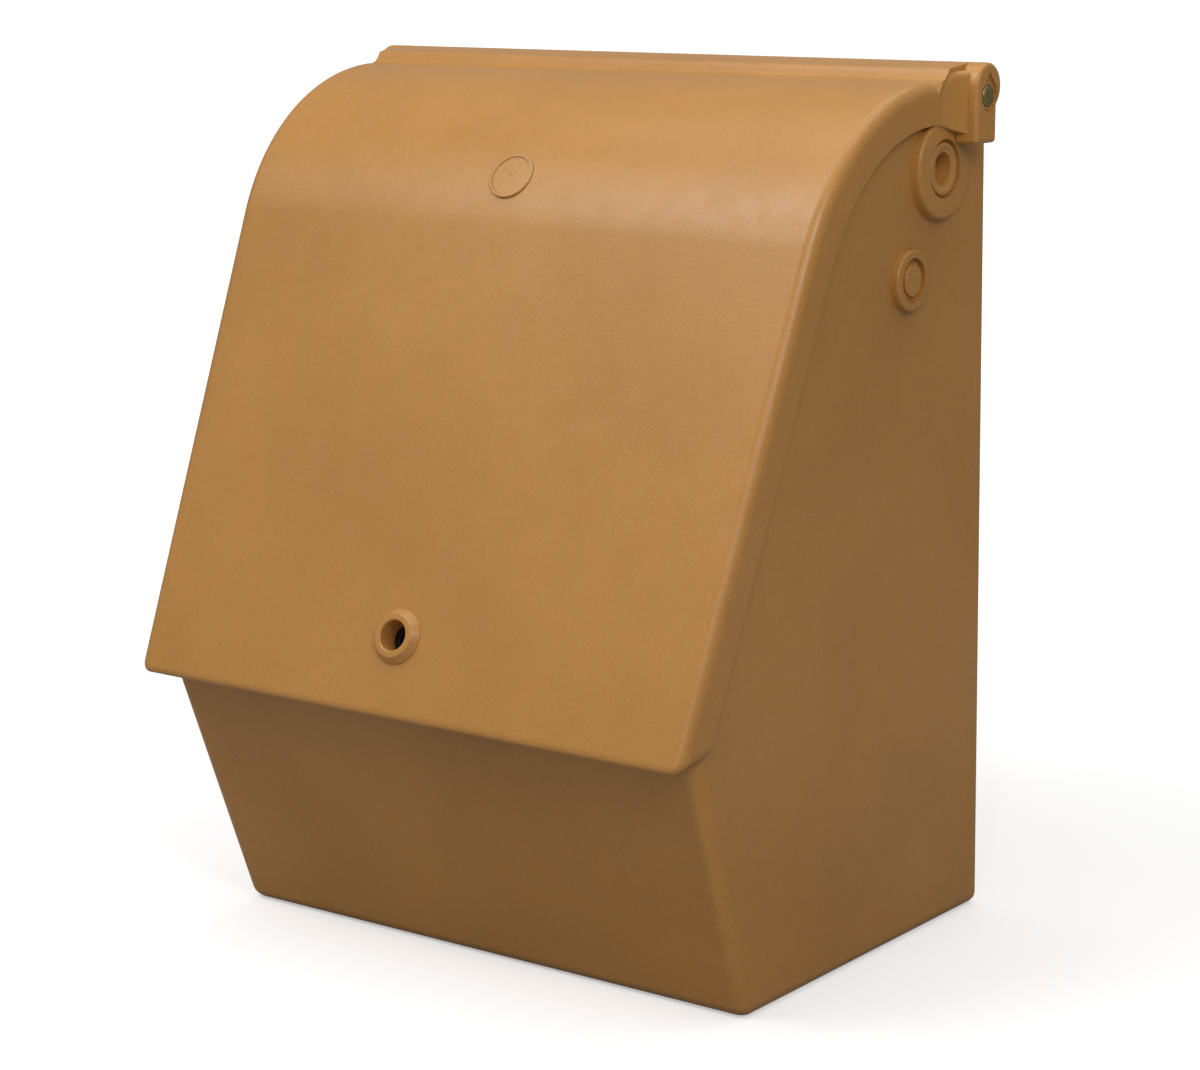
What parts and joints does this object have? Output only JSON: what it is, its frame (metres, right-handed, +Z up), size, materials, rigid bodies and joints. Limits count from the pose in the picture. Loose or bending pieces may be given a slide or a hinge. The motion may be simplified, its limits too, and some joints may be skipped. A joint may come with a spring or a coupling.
{
  "type": "post box",
  "caption": "Free-standing moulded plastic post box: a flared tub with a large curved hinged lid, a rod hinge along the top, a lock hole and round side fittings.",
  "frame": {"origin": "centre of the base footprint, on the ground", "axes": "+Z up, front (the lid's sloping face and lock) towards -Y, +X to the right-hand side seen from the front's back, so the viewer facing the lid sees +X on their right"},
  "size_m": [0.4254, 0.33, 0.5],
  "materials": {
    "tub_plastic": "moulded, fine orange peel, satin",
    "lid_plastic": "moulded, fine orange peel, satin",
    "trim_plastic": "injection moulded, semi-gloss",
    "yellow_zinc": "yellow passivated zinc",
    "zinc_steel": "bright zinc plate",
    "keeper_steel": "zinc-plated sheet",
    "rivet_steel": "plain",
    "spring_steel": "dark spring steel",
    "nylon": "natural nylon",
    "rubber": "matt black"
  },
  "bodies": {
    "box": {"body_shell": "tub_plastic", "pad_bush_left": "trim_plastic", "pad_bush_right": "trim_plastic", "pad_nut_left": "zinc_steel", "pad_nut_right": "zinc_steel", "side_plug_left": "trim_plastic", "side_plug_right": "trim_plastic", "plug_clip_left": "spring_steel", "plug_clip_right": "spring_steel", "lock_keeper": "keeper_steel", "keeper_rivets": "rivet_steel", "lid_buffer_left": "rubber", "lid_buffer_right": "rubber", "fixing_bushes": "zinc_steel"},
    "lid": {"lid_shell": "lid_plastic", "hinge_rod": "yellow_zinc", "cheek_bush_left": "trim_plastic", "cheek_bush_right": "trim_plastic", "rod_washer_left": "nylon", "rod_washer_right": "nylon", "rod_clip_left": "spring_steel", "rod_clip_right": "spring_steel", "lock_ferrule": "trim_plastic", "ferrule_nut": "zinc_steel", "crown_plug": "trim_plastic", "crown_plug_clip": "spring_steel"}
  },
  "joints": [
    {"name": "lid_hinge", "type": "hinge", "parent": "box", "child": "lid", "pos_m": [0, 0.05498, 0.482], "axis": [-1, 0, 0], "range_deg": [0, 135]}
  ]
}
